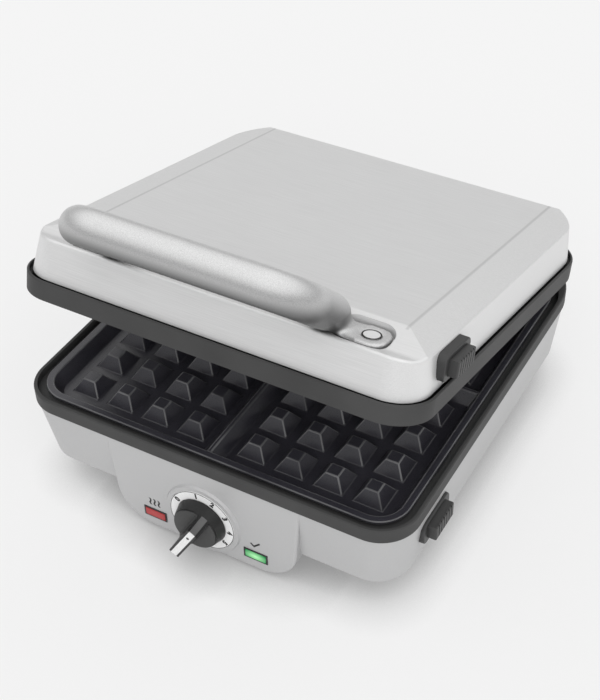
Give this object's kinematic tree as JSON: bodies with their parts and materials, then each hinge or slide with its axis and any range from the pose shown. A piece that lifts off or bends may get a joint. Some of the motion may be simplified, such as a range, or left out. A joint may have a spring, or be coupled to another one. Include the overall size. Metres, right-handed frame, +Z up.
{
  "type": "waffle maker",
  "caption": "Countertop waffle maker with a rear-hinged steel lid and bar handle, removable gridded plates, release buttons and a front control housing with dial and lamps.",
  "frame": {"origin": "on the table under the centre of the rims' outline", "axes": "+Z up, +Y to the hinge at the rear, -Y to the control housing, +X to the side with the release buttons"},
  "size_m": [0.347, 0.4091, 0.3064],
  "materials": {
    "silver_shell": "satin silver",
    "dark_plastic": "fine matt",
    "coated_aluminium": "dark non-stick coating",
    "brushed_sheet": "brushed across the width",
    "satin_aluminium": "bead blasted",
    "bare_steel": "plain",
    "heater_steel": "heat darkened",
    "reflector_sheet": "bright sheet",
    "dial_silver": "satin silver print",
    "red_lens": "clear red",
    "green_lens": "clear green",
    "foot_rubber": "matt",
    "inner_plastic": "plain"
  },
  "bodies": {
    "base": {"base_shell": "silver_shell", "bottom_pan": "dark_plastic", "pan_screws": "bare_steel", "rubber_feet": "foot_rubber", "base_rim": "dark_plastic", "lower_plate": "coated_aluminium", "lower_heater": "heater_steel", "lower_heater_clips": "heater_steel", "lower_reflector": "reflector_sheet", "reflector_screws": "bare_steel", "thermal_fuse": "inner_plastic", "terminal_block": "inner_plastic", "cord_gland": "dark_plastic", "dial_plate": "dial_silver", "thermostat_body": "inner_plastic", "thermostat_nut": "bare_steel", "red_lamp_lens": "red_lens", "red_lamp_bezel": "dark_plastic", "green_lamp_lens": "green_lens", "green_lamp_bezel": "dark_plastic", "lamp_boards": "inner_plastic", "base_hinge_left": "dark_plastic", "base_hinge_right": "dark_plastic", "hinge_pins": "bare_steel", "lower_release_bezel": "dark_plastic", "lower_release_spring": "bare_steel"},
    "lid": {"lid_cover": "brushed_sheet", "lid_rim": "dark_plastic", "upper_plate": "coated_aluminium", "upper_heater": "heater_steel", "upper_heater_clips": "heater_steel", "upper_reflector": "reflector_sheet", "upper_reflector_posts": "bare_steel", "handle": "satin_aluminium", "handle_caps": "satin_aluminium", "handle_screws": "bare_steel", "handle_nuts": "bare_steel", "lid_hinge_left": "dark_plastic", "lid_hinge_right": "dark_plastic", "upper_release_bezel": "dark_plastic", "upper_release_spring": "bare_steel"},
    "knob": {"control_knob": "dark_plastic", "knob_insert": "satin_aluminium", "thermostat_shaft": "bare_steel"},
    "lower_button": {"lower_release_button": "dark_plastic", "lower_release_catch": "bare_steel"},
    "upper_button": {"upper_release_button": "dark_plastic", "upper_release_catch": "bare_steel"}
  },
  "joints": [
    {"name": "lid_hinge", "type": "hinge", "parent": "base", "child": "lid", "pos_m": [0, 0.188, 0.092], "axis": [-1, 0, 0], "range_deg": [-14.7, 80.3]},
    {"name": "knob_turn", "type": "hinge", "parent": "base", "child": "knob", "pos_m": [0, -0.1785, 0.037], "axis": [0, 1, 0], "range_deg": [-85, 115]},
    {"name": "lower_button_press", "type": "slide", "parent": "base", "child": "lower_button", "axis": [-1, 0, 0], "range_m": [0, 0.004], "stiffness_N_per_m": 500, "springref_m": -0.003, "deforming": ["lower_release_spring"]},
    {"name": "upper_button_press", "type": "slide", "parent": "lid", "child": "upper_button", "axis": [-1, 0, 0], "range_m": [0, 0.004], "stiffness_N_per_m": 500, "springref_m": -0.003, "deforming": ["upper_release_spring"]}
  ]
}
